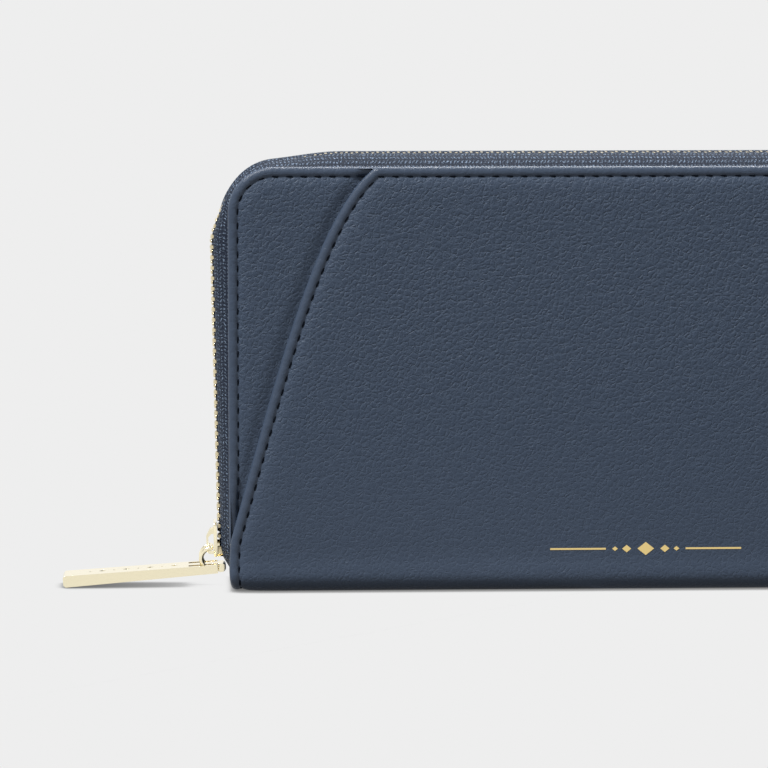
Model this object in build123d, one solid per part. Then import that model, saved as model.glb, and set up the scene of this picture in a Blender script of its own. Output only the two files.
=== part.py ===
"""A long zip-around wallet that stands on its spine, in millimetres.

X runs along the wallet (left is -X), Y through its thickness (the front cover faces -Y) and Z up.
The origin is the middle of the flat underside of the spine. The two stiffened covers hinge outwards
on the spine, a zip runs round the other three edges, and a zipped coin pocket stands between them.
"Depth" below means distance from the middle plane Y = 0. Back parts are mirror images of front ones.
"""

from build123d import *
import os
from math import asin, atan, degrees, radians, tan

# Driving dimensions of the closed wallet
WIDTH = 200.0
HEIGHT = 102.0
THICKNESS = 25.0
COVER_RADIUS = 11.0
SPINE_RADIUS = 6.0
FOLD_Z = 6.5
FOLD_GAP = 0.1

# Layers of a cover, from the outside in
LEATHER = 1.3
CORNER_LEATHER = 0.65
WADDING = 0.4
BOARD = 1.0
LINING = 0.4
LINING_INSET = 1.5
BOARD_INSET = 7.5

# The seam where the main front panel laps over the corner panel: a curve through points given as
# distances from the cover's left edge and from its top
SEAM = [(35.3, 0.0), (21.5, 10.0), (12.0, 48.0), (0.5, 90.0)]
LAP = 5.0

# Sewing thread
STITCH_PITCH = 3.4
STITCH_LENGTH = 2.2
STITCH_INSET = 2.3
THREAD = 0.4

# The main zip, a metal chain of number 5 size
TAPE = 0.5
TAPE_MARGIN = 6.0
TAPE_EDGE = 3.1
TOOTH_PITCH = 2.5
TOOTH_WIDTH = 1.1
TOOTH_REACH = 3.0
TOOTH_LAP = 0.7
TOOTH_THICK = 1.6
ZIP_RADIUS = 25.0
ZIP_FOOT_OUT = 1.7
ZIP_SIDE_OUT = 3.4
ZIP_TOP_OUT = 2.4
ZIP_BASE_Z = 8.0

# The main slider, its wire link and the pull bar
SLIDER_Z = 11.4
SLIDER_LENGTH = 8.4
SLIDER_PLATE = 0.6
SLIDER_GAP = 2.2
SLIDER_TAIL_HALF_WIDTH = 3.7
SLIDER_NOSE_HALF_WIDTH = 4.1
SLIDER_FLANGE = 0.2
BRIDGE_HEIGHT = 1.8
BRIDGE_STRAP = 0.5
LINK_LOWER = 2.1
LINK_DROP = 4.9
LINK_SWAY = 1.2
LINK_WIRE = 1.1
LINK_BULGE = 2.4
LINK_HALF_WIDTH = 2.4
BAR_LENGTH = 37.0
BAR_WIDTH = 8.6
BAR_THIN = 2.0
BAR_THICK = 2.8
BAR_NOSE = 2.4
BAR_NOSE_HALF_WIDTH = 2.7
BAR_SLOT = 6.6
ENGRAVING = 0.2

# The inside
PANEL = 0.6
PANEL_GAP = 0.1
PANEL_HALF_WIDTH = 91.5
PANEL_FOOT_Z = 8.0
SLIP_TOP_Z = 88.0
FRONT_ROW_TOPS = [75.0, 63.0, 51.0, 39.0]
BACK_ROW_TOPS = [72.0, 56.0, 44.0]
POCKET_HALF_WIDTH = 90.0
POCKET_TOP_Z = 80.0
POCKET_WALL = 0.6
POCKET_DEPTH = 4.4
GUSSET = 0.3
GUSSET_SIDE_X = 93.5
GUSSET_REACH = 30.0
COIL_RADIUS = 0.9

# Worked out from the dimensions above
HALF_WIDTH = WIDTH / 2
FACE = THICKNESS / 2
WADDING_DEPTH = FACE - LEATHER
BOARD_DEPTH = WADDING_DEPTH - WADDING
LINING_DEPTH = BOARD_DEPTH - BOARD
INNER_DEPTH = LINING_DEPTH - LINING
COVER_FOOT_Z = FOLD_Z + FOLD_GAP
ZIP_TOP_Z = HEIGHT + ZIP_TOP_OUT
ZIP_TILT = atan((ZIP_SIDE_OUT - ZIP_FOOT_OUT) / (ZIP_TOP_Z - ZIP_RADIUS))
SLIDER_X = -(HALF_WIDTH + ZIP_FOOT_OUT + SLIDER_Z * tan(ZIP_TILT))
SLIDER_FACE = SLIDER_GAP / 2 + SLIDER_PLATE
LINK_X = SLIDER_X - SLIDER_FACE - (BRIDGE_HEIGHT - BRIDGE_STRAP) / 2
LINK_Z = SLIDER_Z - LINK_LOWER
BAR_X = LINK_X + LINK_SWAY
BAR_Z = LINK_Z - LINK_DROP
BAR_TILT = degrees(asin((BAR_Z - BAR_THICK / 2 - 0.1) / BAR_LENGTH))
COIN_ZIP_Z = POCKET_TOP_Z + 2.0


# Shared helpers

def layer(sketch, near, far):
    """A flat layer on the front side, between two depths. The sketch's x and y are the wallet's X and Z."""
    return extrude(Plane.XZ.offset(near) * sketch, amount=far - near, dir=(0, -1, 0))


def to_back(shape):
    """The mirror image of a front part, on the back side."""
    return mirror(shape, about=Plane.XZ)


def block(x0, x1, y0, y1, z0, z1):
    """A box between two corners."""
    return Pos((x0 + x1) / 2, (y0 + y1) / 2, (z0 + z1) / 2) * Box(x1 - x0, y1 - y0, z1 - z0)


def arched(foot_half, top_half, foot_z, top_z, radius):
    """A flat outline with a straight foot and two rounded top corners."""
    corners = [(-foot_half, foot_z), (-top_half, top_z), (top_half, top_z), (foot_half, foot_z)]
    face = make_face(Polyline(*corners, close=True))
    return fillet(face.vertices().sort_by(Axis.Y)[-2:], radius)


def cover_outline(inset, foot_z=COVER_FOOT_Z):
    """A cover's outline, moved in from its side and top edges by inset."""
    half = HALF_WIDTH - inset
    return arched(half, half, foot_z, HEIGHT - inset, COVER_RADIUS - inset)


def zip_outline(out):
    """The line of the zip's teeth seen from the front, moved outwards by out."""
    top_z = ZIP_TOP_Z + out
    foot_half = HALF_WIDTH + ZIP_FOOT_OUT + out
    return arched(foot_half, foot_half + top_z * tan(ZIP_TILT), 0, top_z, ZIP_RADIUS + out)


def open_path(outline, foot_z):
    """The side and top edges of an outline as one wire, from its left foot over the top to its right foot."""
    face = outline & Pos(0, foot_z + HEIGHT) * Rectangle(3 * WIDTH, 2 * HEIGHT)
    edges = [e for e in face.edges() if e.center().Y > foot_z + 0.01]
    wire = Wire(edges)
    return wire if (wire @ 0).X < 0 else Wire([e.reversed() for e in edges])


def placed_along(wire, start, pitch, count):
    """Positions on a wire, as (x, z, angle of travel in degrees)."""
    places = []
    for i in range(count):
        share = (start + i * pitch) / wire.length
        point = wire.position_at(share)
        way = wire.tangent_at(share)
        places.append((point.X, point.Y, degrees(atan(way.Y / way.X)) if abs(way.X) > 1e-9 else 90.0))
    return places


def stitches(wire, depth, start=1.7):
    """A row of separate stitches laid on a cover's face along a wire."""
    count = int((wire.length - 2 * start) / STITCH_PITCH) + 1
    stitch = Box(STITCH_LENGTH, THREAD, THREAD)
    row = []
    for x, z, turn in placed_along(wire, start, STITCH_PITCH, count):
        row.append(Pos(x, -depth - THREAD / 2, z) * Rot(0, -turn, 0) * stitch)
    return row


def save(name, shape):
    """Writes one piece, or one group of like solids, as its own file."""
    solids = shape if isinstance(shape, list) else shape.solids()
    whole = solids[0] if len(solids) == 1 else Compound(children=list(solids))
    whole.label = name
    export_step(whole, os.path.join("parts", name + ".step"))


# Covers

def seam_curve(shift=0.0):
    """The lapped seam as a curve on the front face, moved right by shift."""
    points = [(-HALF_WIDTH + x + shift, HEIGHT - z) for x, z in SEAM]
    return Bezier(*points)


def left_of_seam(shift):
    """The part of the front face to the left of the seam, when the seam is moved right by shift."""
    curve = seam_curve(shift)
    top = curve @ 0
    foot = curve @ 1
    far_left = -WIDTH
    rest = Polyline(foot, (far_left, foot.Y), (far_left, HEIGHT + 1), (top.X + 1, HEIGHT + 1), top)
    return make_face([curve, rest])


def build_front_leather():
    """The corner panel, and the main panel whose turned edge laps over it."""
    outline = cover_outline(0)
    corner = layer(outline & left_of_seam(LAP), WADDING_DEPTH, WADDING_DEPTH + CORNER_LEATHER)
    main = layer(outline - left_of_seam(0), WADDING_DEPTH, FACE)
    step = layer(left_of_seam(LAP + 0.05), WADDING_DEPTH - 1, WADDING_DEPTH + CORNER_LEATHER + 0.05)
    save("front_corner_panel", corner)
    save("front_main_panel", main - step)


def build_cover_layers(side, place):
    """Wadding, stiffener board and lining, which are the same in both covers."""
    save(side + "_wadding", place(layer(cover_outline(2.0), BOARD_DEPTH, WADDING_DEPTH)))
    save(side + "_board", place(layer(cover_outline(BOARD_INSET), LINING_DEPTH, BOARD_DEPTH)))
    save(side + "_lining", place(layer(cover_outline(LINING_INSET), INNER_DEPTH, LINING_DEPTH)))


def build_stitching():
    """The visible thread: round both covers, along the seam, and down the middle of the card panels."""
    edge = open_path(cover_outline(STITCH_INSET), COVER_FOOT_Z + 1)
    row = stitches(edge, FACE)
    corner_panel = cover_outline(0) & left_of_seam(-STITCH_LENGTH / 2)
    near_corner_panel = cover_outline(0) & left_of_seam(STITCH_LENGTH / 2)
    drop = FACE - WADDING_DEPTH - CORNER_LEATHER
    on_corner = [Pos(0, drop, 0) * s for s in row if on_panel(s, corner_panel)]
    on_main = [s for s in row if not on_panel(s, near_corner_panel)]
    save("front_edge_stitching", on_corner + on_main)
    save("back_edge_stitching", [to_back(s) for s in row])
    curve = Wire([seam_curve(STITCH_INSET)])
    kept = [s for s in stitches(curve, FACE, 5.0) if s.center().Z > 20]
    save("seam_stitching", kept)


def on_panel(stitch, panel):
    """True if a stitch lies over a flat panel of the front face."""
    centre = stitch.center()
    return panel.faces()[0].is_inside(Vector(centre.X, centre.Z, 0))


# Main zip

def build_tape(side, place):
    """One half of the zip's woven tape: a margin sewn into the cover and a web that reaches to the teeth."""
    margin_depth = LINING_DEPTH + TAPE
    margin = layer(cover_outline(0.3, ZIP_BASE_Z) - cover_outline(TAPE_MARGIN, ZIP_BASE_Z - 1),
                   LINING_DEPTH, margin_depth)
    outer = web_loft(0.3, TAPE / 2)
    inner = web_loft(0.3 + TAPE, -TAPE / 2)
    web = (outer - inner) - block(-WIDTH, WIDTH, -FACE, 0, -1, ZIP_BASE_Z)
    save(side + "_zip_tape", place(margin + web))


def web_loft(inset, out):
    """The solid between a cover's outline at the lining and the zip's outline at the teeth."""
    cover = Plane.XZ.offset(LINING_DEPTH) * cover_outline(inset, 0)
    teeth = Plane.XZ.offset(TAPE_EDGE) * zip_outline(out)
    return loft([cover.faces()[0], teeth.faces()[0]], ruled=True)


def build_teeth(side, place, phase):
    """One row of teeth on the edge of its tape. The other row stands in the gaps between them."""
    path = open_path(zip_outline(0), ZIP_BASE_Z)
    first = SLIDER_Z + 0.6 - ZIP_BASE_Z + phase
    last = path.length - 3.5
    count = int((last - first) / TOOTH_PITCH) + 1
    tooth = Box(TOOTH_WIDTH, TOOTH_REACH + TOOTH_LAP, TOOTH_THICK)
    middle = (TOOTH_REACH - TOOTH_LAP) / 2
    row = []
    for x, z, turn in placed_along(path, first, TOOTH_PITCH, count):
        row.append(place(Pos(x, -middle, z) * Rot(0, -turn, 0) * tooth))
    save(side + "_zip_teeth", row)


def build_zip_stops():
    """A small stop at the end of each row, beside the slider's wedge, and one stop that joins both rows."""
    x = SLIDER_X + 2.6 * tan(ZIP_TILT)
    z = SLIDER_Z - 2.6
    half = TOOTH_THICK / 2
    stop = block(x - half, x + half, -2.9, -1.6, z - 1.0, z + 1.0)
    save("front_zip_stop", stop)
    save("back_zip_stop", to_back(stop))
    foot_x = HALF_WIDTH + ZIP_FOOT_OUT + ZIP_BASE_Z * tan(ZIP_TILT)
    save("zip_end_box", block(foot_x - 1.0, foot_x + 1.0, -2.8, 2.8, ZIP_BASE_Z, ZIP_BASE_Z + 2.6))


def slider_plate_outline(length, tail_half, nose_half):
    """A slider plate: wide shoulders near the nose and a narrower tail. x is across the tape, y along it."""
    end = length / 2
    right = [(tail_half, end), (nose_half, 0), (nose_half, -end / 2), (nose_half * 0.66, -end)]
    left = [(-x, y) for x, y in reversed(right)]
    return fillet(make_face(Polyline(*right, *left, close=True)).vertices(), 0.8)


def build_main_slider():
    """Slider body: two plates joined by a wedge, flanges that trap the teeth, and a bridge for the link."""
    sketch = slider_plate_outline(SLIDER_LENGTH, SLIDER_TAIL_HALF_WIDTH, SLIDER_NOSE_HALF_WIDTH)
    side_plane = Plane.YZ
    gap = SLIDER_GAP / 2
    inner_plate = extrude(side_plane.offset(gap) * sketch, amount=SLIDER_PLATE, dir=(1, 0, 0))
    outer_plate = extrude(side_plane.offset(-gap) * sketch, amount=SLIDER_PLATE, dir=(-1, 0, 0))
    outer_plate = fillet(outer_plate.faces().sort_by(Axis.X)[0].edges(), 0.25)
    end = SLIDER_LENGTH / 2
    wedge = extrude(side_plane.offset(-gap) * (Pos(0, -2.4) * Ellipse(1.1, 2.1)), amount=SLIDER_GAP, dir=(1, 0, 0))
    body = inner_plate + outer_plate + wedge
    for y in (-1, 1):
        for x in (-1, 1):
            near, far = sorted((x * gap, x * (gap - SLIDER_FLANGE)))
            low, high = sorted((y * 3.3, y * SLIDER_TAIL_HALF_WIDTH))
            body += block(near, far, low, high, -end / 2, end - 0.8)
    body += slider_bridge()
    turned = Pos(SLIDER_X, 0, SLIDER_Z) * Rot(0, -degrees(ZIP_TILT), 0) * body
    save("main_slider_body", turned)


def slider_bridge():
    """The arched strap on the slider's outer plate that holds the link. Its eye opens along Y."""
    foot = -SLIDER_FACE
    top = foot - BRIDGE_HEIGHT
    eye_top = top + BRIDGE_STRAP
    outer = Polyline((foot + 0.2, 2.9), (foot - 0.9, 2.4), (top, 0.7), (top, -2.9),
                     (top + 0.5, -3.7), (foot + 0.2, -3.8), close=True)
    eye = Polyline((foot, 1.2), (foot - 0.6, 1.1), (eye_top, 0.3), (eye_top, -2.8),
                   (eye_top + 0.3, -3.1), (foot, -3.1), close=True)
    profile = fillet(make_face(outer).vertices(), 0.4) - fillet(make_face(eye).vertices(), 0.2)
    return extrude(Plane.XZ.offset(-0.8) * profile, amount=1.6, dir=(0, -1, 0))


def build_link():
    """A closed wire link. Its upper rung runs through the slider's bridge and its lower rung through the bar."""
    wire_radius = LINK_WIRE / 2
    rungs = ((LINK_X, LINK_Z), (BAR_X, BAR_Z))
    middle_z = (LINK_Z + BAR_Z) / 2
    rods = [Pos(x, 0, z) * Rot(90, 0, 0) * Cylinder(wire_radius, 2 * LINK_HALF_WIDTH) for x, z in rungs]
    link = rods[0] + rods[1]
    for y in (-LINK_HALF_WIDTH, LINK_HALF_WIDTH):
        arm = ThreePointArc((LINK_X, y, LINK_Z), (LINK_X - LINK_BULGE, y, middle_z), (BAR_X, y, BAR_Z))
        link += sweep(Plane(origin=arm @ 0, z_dir=arm % 0) * Circle(wire_radius), path=arm)
        for x, z in rungs:
            link += Pos(x, y, z) * Sphere(wire_radius)
    save("puller_link", link)


def build_bar():
    """The pull bar: a flat tapered bar with a cross hole, two slots for the link's arms and a row of small
    engraved lozenges. It lies along -X from the hole and is thicker at its far end. Its round nose, beyond
    the hole, is narrow enough to pass between the zip's two tapes."""
    nose = BAR_THIN / 2
    profile = Polyline((BAR_NOSE - nose, nose), (-BAR_LENGTH, BAR_THICK / 2), (-BAR_LENGTH, -BAR_THICK / 2),
                       (BAR_NOSE - nose, -nose), close=True)
    section = make_face(profile) + Pos(BAR_NOSE - nose, 0) * Circle(nose)
    bar = extrude(Plane.XZ.offset(-BAR_WIDTH / 2) * section, amount=BAR_WIDTH, dir=(0, -1, 0))
    bar = chamfer(bar.edges().filter_by(Axis.Z, 5).group_by(Axis.X)[0], 0.5)
    clear_radius = LINK_WIRE / 2 + 0.1
    bar -= Rot(90, 0, 0) * Cylinder(clear_radius, BAR_WIDTH - 1.8)
    for y in (-1, 1):
        near, far = sorted((y * 1.6, y * 3.2))
        bar -= block(-BAR_SLOT, clear_radius, near, far, -BAR_THICK, BAR_THICK)
        near, far = sorted((y * BAR_NOSE_HALF_WIDTH, y * BAR_WIDTH))
        bar -= block(0.4, BAR_NOSE, near, far, -BAR_THICK, BAR_THICK)
    bar -= bar_engraving()
    save("puller_bar", Pos(BAR_X, 0, BAR_Z) * Rot(0, -BAR_TILT, 0) * bar)


def bar_engraving():
    """Shallow lozenges in a row on the bar's upper face, large and small in turn."""
    slope = degrees(atan((BAR_THICK - BAR_THIN) / 2 / BAR_LENGTH))
    first, pitch, count = 10.0, 2.9, 8
    row = []
    for i in range(count):
        distance = first + i * pitch
        half_length = (0.95, 0.5)[i % 2]
        half_width = half_length * 0.8
        lozenge = make_face(Polyline((-half_length, 0), (0, half_width), (half_length, 0), (0, -half_width),
                                     close=True))
        surface = BAR_THIN / 2 + distance * tan(radians(slope))
        tool = extrude(lozenge, amount=1.0, both=True)
        row.append(Pos(-distance, 0, surface + 1.0 - ENGRAVING) * Rot(0, slope, 0) * tool)
    return row


# Spine and coin pocket

def spine_section(shrink, top_z):
    """Half of the spine's U-shaped section, shrunk all round, as a closed face. x is Y and y is Z."""
    half = FACE - shrink
    radius = SPINE_RADIUS - shrink
    face = make_face(Polyline((-half, shrink), (half, shrink), (half, top_z), (-half, top_z), close=True))
    return fillet(face.vertices().sort_by(Axis.Y)[:2], radius)


def build_spine():
    """The leather that folds round the bottom between the covers, and its lining."""
    def trough(outer, inner, half_length):
        section = spine_section(outer, FOLD_Z) - spine_section(inner, FOLD_Z + 1)
        return extrude(Plane.YZ.offset(-half_length) * section, amount=2 * half_length, dir=(1, 0, 0))

    thick = 1.1
    save("spine_leather", trough(0, thick, HALF_WIDTH))
    save("spine_lining", trough(thick, thick + LINING, HALF_WIDTH - LINING_INSET))


def build_coin_pocket():
    """Two walls that stand on the spine lining, with edge strips that close the ends and the bottom."""
    foot_z = 1.1 + LINING
    half = POCKET_HALF_WIDTH
    deep = POCKET_DEPTH
    wall = block(-half, half, -deep - POCKET_WALL, -deep, foot_z, POCKET_TOP_Z)
    save("coin_pocket_front_wall", wall)
    save("coin_pocket_back_wall", to_back(wall))
    for side, x in (("left", -half), ("right", half - 0.5)):
        save("coin_pocket_" + side + "_end", block(x, x + 0.5, -deep, deep, foot_z + 0.5, POCKET_TOP_Z - 7))
    save("coin_pocket_bottom", block(-half, half, -deep, deep, foot_z, foot_z + 0.5))


def build_coin_zip():
    """A small coil zip across the top of the coin pocket, with its slider and pull tab at the left end."""
    deep = POCKET_DEPTH
    half = POCKET_HALF_WIDTH - 4
    tape = block(-half, half, -deep, -1.6, COIN_ZIP_Z - 0.2, COIN_ZIP_Z + 0.2)
    tape += block(-half, half, -deep, -deep + 0.4, POCKET_TOP_Z - 6, COIN_ZIP_Z + 0.2)
    slider_x = -half + 8.0
    coil = Pos(4, -0.8, COIN_ZIP_Z) * Rot(0, 90, 0) * Cylinder(COIL_RADIUS * 0.85, 2 * half - 12)
    coil = Pos(slider_x + half, 0, 0) * coil & block(slider_x + 0.4, half - 2, -2, 0, 0, HEIGHT)
    stop = block(half - 2, half, -1.6, 1.6, COIN_ZIP_Z - 1.0, COIN_ZIP_Z + 1.0)
    save("coin_zip_front_tape", tape)
    save("coin_zip_back_tape", to_back(tape))
    save("coin_zip_front_coil", coil)
    save("coin_zip_back_coil", to_back(coil))
    save("coin_zip_stop", stop)
    save("coin_slider_body", Pos(slider_x, 0, COIN_ZIP_Z) * coin_slider())
    save("coin_puller_tab", Pos(slider_x, 0, COIN_ZIP_Z) * coin_tab())


def coin_slider():
    """The coin zip's slider, nose towards -X: two plates, a wedge and a low bridge."""
    sketch = Rot(0, 0, -90) * slider_plate_outline(7.0, 2.9, 3.3)
    top = extrude(Plane.XY.offset(1.0) * sketch, amount=0.5)
    bottom = extrude(Plane.XY.offset(-1.5) * sketch, amount=0.5)
    wedge = extrude(Plane.XY.offset(-1.0) * (Pos(-1.8, 0) * Ellipse(1.4, 0.8)), amount=2.0)
    arch = make_face(Polyline((-2.6, 1.3), (-2.0, 3.0), (1.4, 3.0), (2.0, 1.3), close=True))
    eye = make_face(Polyline((-1.9, 1.5), (-1.5, 2.5), (0.9, 2.5), (1.3, 1.5), close=True))
    bridge = extrude(Plane.XZ.offset(-0.6) * (arch - eye), amount=1.2, dir=(0, -1, 0))
    return top + bottom + wedge + bridge


def coin_tab():
    """The coin zip's pull tab: a flat tongue whose loop passes through the slider's bridge."""
    eye_x, eye_z, wire = -0.6, 2.0, 0.38
    loop = Pos(eye_x, 0, eye_z) * Rot(90, 0, 0) * Cylinder(wire, 3.8)
    for y in (-1, 1):
        near, far = sorted((y * 1.1, y * 1.9))
        loop += block(eye_x, eye_x + 4.2, near, far, eye_z - wire, eye_z + wire)
    tongue = block(eye_x + 3.6, eye_x + 13.0, -1.9, 1.9, eye_z - wire, eye_z + wire)
    tongue = fillet(tongue.edges().filter_by(Axis.Z).group_by(Axis.X)[-1], 1.2)
    return loop + tongue


def build_gussets():
    """Four folded side gussets. Each is a V of two leaves whose crease runs up and inwards from the spine."""
    foot_z, top_z = PANEL_FOOT_Z + 1, POCKET_TOP_Z
    slot = INNER_DEPTH - panel_stack(len(FRONT_ROW_TOPS) + 1) - POCKET_DEPTH - POCKET_WALL
    near = POCKET_DEPTH + POCKET_WALL + 0.05
    far = near + slot - 0.1
    side_x = -GUSSET_SIDE_X
    leaf = make_face(Polyline((side_x, foot_z), (side_x + 2, foot_z), (side_x + GUSSET_REACH, top_z),
                              (side_x, top_z), close=True))
    crease = make_face(Polyline((side_x + 1, foot_z), (side_x + 2, foot_z), (side_x + GUSSET_REACH, top_z),
                                (side_x + GUSSET_REACH - 1, top_z), close=True))
    fold = layer(leaf, near, near + GUSSET) + layer(leaf, far - GUSSET, far) + layer(crease, near, far)
    fold += block(side_x - GUSSET, side_x, -INNER_DEPTH + 0.05, -far + GUSSET, foot_z, top_z)
    for side, turn in (("left", lambda s: s), ("right", lambda s: mirror(s, about=Plane.YZ))):
        save(side + "_front_gusset", turn(fold))
        save(side + "_back_gusset", turn(to_back(fold)))


# Pockets on the covers

def panel_stack(count):
    """How deep a stack of pocket panels is, with the gap behind each one."""
    return count * (PANEL + PANEL_GAP)


def build_pockets(side, place, names, tops):
    """Pocket panels stacked on a cover's lining, each lower than the one behind it."""
    for i, (name, top_z) in enumerate(zip(names, tops)):
        far = INNER_DEPTH - PANEL_GAP - panel_stack(i)
        panel = block(-PANEL_HALF_WIDTH, PANEL_HALF_WIDTH, -far, -far + PANEL, PANEL_FOOT_Z, top_z)
        save(side + "_" + name, place(panel))


def main():
    os.makedirs("parts", exist_ok=True)

    def stay(shape):
        return shape

    build_front_leather()
    save("back_panel", to_back(layer(cover_outline(0), WADDING_DEPTH, FACE)))
    build_cover_layers("front", stay)
    build_cover_layers("back", to_back)
    build_stitching()
    build_tape("front", stay)
    build_tape("back", to_back)
    build_teeth("front", stay, 0)
    build_teeth("back", to_back, TOOTH_PITCH / 2)
    build_zip_stops()
    build_main_slider()
    build_link()
    build_bar()
    build_spine()
    build_coin_pocket()
    build_coin_zip()
    build_gussets()
    rows = ["card_panel_%d" % (i + 1) for i in range(len(FRONT_ROW_TOPS))]
    build_pockets("front", stay, ["slip_pocket"] + rows, [SLIP_TOP_Z] + FRONT_ROW_TOPS)
    rows = ["phone_pocket", "card_panel_1", "card_panel_2"]
    build_pockets("back", to_back, ["slip_pocket"] + rows, [SLIP_TOP_Z] + BACK_ROW_TOPS)


main()
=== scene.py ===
"""Looks for a zip-around wallet: pebbled leather skins, knitted zip tapes, metal teeth and a lined inside.

Shape functions work in millimetres and are scaled to metres when a mesh is made. X runs along the wallet,
Y from front to back and Z up. "Depth" means distance from the middle plane Y = 0, and "side" is -1 for the
front and 1 for the back. Leather and lining are laid out flat, with u along X and v up the cover; below the
fold v goes on to the middle of the spine.
"""

import math

import bmesh
import bpy
import numpy as np
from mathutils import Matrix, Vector
from mathutils.geometry import delaunay_2d_cdt


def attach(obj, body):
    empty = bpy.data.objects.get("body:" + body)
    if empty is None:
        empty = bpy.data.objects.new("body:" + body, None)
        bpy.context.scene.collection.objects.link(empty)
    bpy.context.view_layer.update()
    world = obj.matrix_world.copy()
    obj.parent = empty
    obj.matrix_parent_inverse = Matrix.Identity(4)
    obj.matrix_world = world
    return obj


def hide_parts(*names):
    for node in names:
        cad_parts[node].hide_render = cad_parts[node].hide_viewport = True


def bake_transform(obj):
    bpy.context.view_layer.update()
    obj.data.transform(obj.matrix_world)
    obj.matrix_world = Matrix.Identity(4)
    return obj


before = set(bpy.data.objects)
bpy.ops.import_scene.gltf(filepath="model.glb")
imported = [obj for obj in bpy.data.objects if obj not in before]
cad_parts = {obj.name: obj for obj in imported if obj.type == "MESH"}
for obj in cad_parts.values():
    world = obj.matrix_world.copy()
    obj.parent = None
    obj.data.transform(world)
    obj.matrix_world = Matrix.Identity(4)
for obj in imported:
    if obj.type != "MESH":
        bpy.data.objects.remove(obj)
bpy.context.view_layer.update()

MM = 0.001

# The closed wallet's main sizes
HALF_WIDTH = 100.0
HEIGHT = 102.0
FACE = 12.5
COVER_RADIUS = 11.0
FOLD_RADIUS = 3.8

# Stitching along the leather's edges: its distance in, its pitch, and the thread's height off the face
STITCH_INSET = 2.3
STITCH_PITCH = 3.4
THREAD_HEIGHT = -0.56

# How far the zip stands out past the covers' edge, and how much wider the sides get per millimetre up
ZIP_TOP_OUT = 2.4
ZIP_FOOT_OUT = 1.7
ZIP_CORNER_OUT = -1.3
ZIP_LEAN = 1.7 / 79.4

# How far the tape swells between the leather and the teeth, on the sides, the top and the corners
TAPE_CREST = 0.15
TAPE_TOP_CREST = 0.85
TAPE_CORNER_CREST = 1.5

# The tape's knit: the height of a row of loops, and the turns of its wave in radians per millimetre
TAPE_ROW = 1.25
TAPE_TURNS = 2 * math.pi / 0.9

# The rows of teeth start just above the slider and end before the end box, and are sunk into the tape on top
TOOTH_PITCH = 2.5
TOOTH_SINK = 0.5
TEETH_START_Z = 12.0
TEETH_END_GAP = 11.0

# The cloth inside the covers: its depth, and how far its border lies inside the leather's edge
LINING_DEPTH = 9.4
LINING_INSET = 0.9

# Where the sheet that wraps the spine starts to curve, and where it reaches the middle plane
ARC_LENGTH = FOLD_RADIUS * math.pi / 2
FLAT_V = FOLD_RADIUS - ARC_LENGTH
MIDDLE_V = FLAT_V - (FACE - FOLD_RADIUS)


# ---------------------------------------------------------------- meshes

def make_piece(name, points, faces, material, uv=None, smooth=True, values=None):
    """A mesh object from points in millimetres. uv and values give each point its place and its relief."""
    data = bpy.data.meshes.new(name)
    data.from_pydata([tuple(p) for p in np.asarray(points) * MM], [], [tuple(map(int, f)) for f in faces])
    data.update()
    if uv is not None:
        corners = np.empty(len(data.loops), np.int32)
        data.loops.foreach_get("vertex_index", corners)
        layer = data.uv_layers.new(name="Flat")
        layer.data.foreach_set("uv", np.asarray(uv, np.float32)[corners].ravel())
    if values is not None:
        attribute = data.attributes.new("relief", "FLOAT", "POINT")
        attribute.data.foreach_set("value", np.asarray(values, np.float32))
    data.polygons.foreach_set("use_smooth", [smooth] * len(data.polygons))
    data.materials.append(material)
    piece = bpy.data.objects.new(name, data)
    bpy.context.scene.collection.objects.link(piece)
    return piece


def joined(parts):
    """One list of points and one of faces from several (points, faces) pairs."""
    points, faces, start = [], [], 0
    for part_points, part_faces in parts:
        points.append(np.asarray(part_points, float))
        faces.extend([tuple(i + start for i in f) for f in part_faces])
        start += len(part_points)
    return np.vstack(points), faces


def strip_faces(rows, columns, closed=False):
    """Quads between the rows of a grid of points. closed joins the last column to the first."""
    faces = []
    last = columns if closed else columns - 1
    for r in range(rows - 1):
        for c in range(last):
            d = (c + 1) % columns
            faces.append((r * columns + c, r * columns + d, (r + 1) * columns + d, (r + 1) * columns + c))
    return faces


def make_grid(name, rows, material, uvs):
    """A sheet from equally long rows of points and their flat coordinates."""
    return make_piece(name, np.vstack(rows), strip_faces(len(rows), len(rows[0])), material, np.vstack(uvs))


def smooth_step(x, low, high):
    """0 up to low, 1 from high on, and a smooth rise between."""
    t = np.clip((np.asarray(x, float) - low) / (high - low), 0, 1)
    return t * t * (3 - 2 * t)


def ride(piece, body, *nodes, slot=None):
    """Fixes a piece to a body and lets it stand for CAD nodes."""
    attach(piece, body)
    finish_piece(nodes)


def bend(piece, nodes):
    """Bakes a piece's transform into its mesh, and lets it stand for CAD nodes."""
    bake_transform(piece)
    finish_piece(nodes)


def finish_piece(nodes):
    """Hides the CAD nodes that a piece stands for."""
    if nodes:
        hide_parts(*nodes)


# ---------------------------------------------------------------- paths

def rounded_path(half_width, foot_v, top_v, radius, counts):
    """Left side, top and right side of an outline with rounded corners. counts is the numbers of points on a
    side, a corner and the top."""
    side, corner, top = counts
    centre_x, centre_v = radius - half_width, top_v - radius
    left = np.column_stack([np.full(side, -half_width), np.linspace(foot_v, centre_v, side, endpoint=False)])
    angles = np.linspace(math.pi, math.pi / 2, corner, endpoint=False)
    arc = np.column_stack([centre_x + radius * np.cos(angles), centre_v + radius * np.sin(angles)])
    half = np.vstack([left, arc])
    run = level_line(np.linspace(centre_x, -centre_x, top), top_v)
    return np.vstack([half, run, (half * [-1, 1])[::-1]])


def unit(vectors):
    """The same directions with length 1."""
    return vectors / np.linalg.norm(vectors, axis=1)[:, None]


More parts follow.
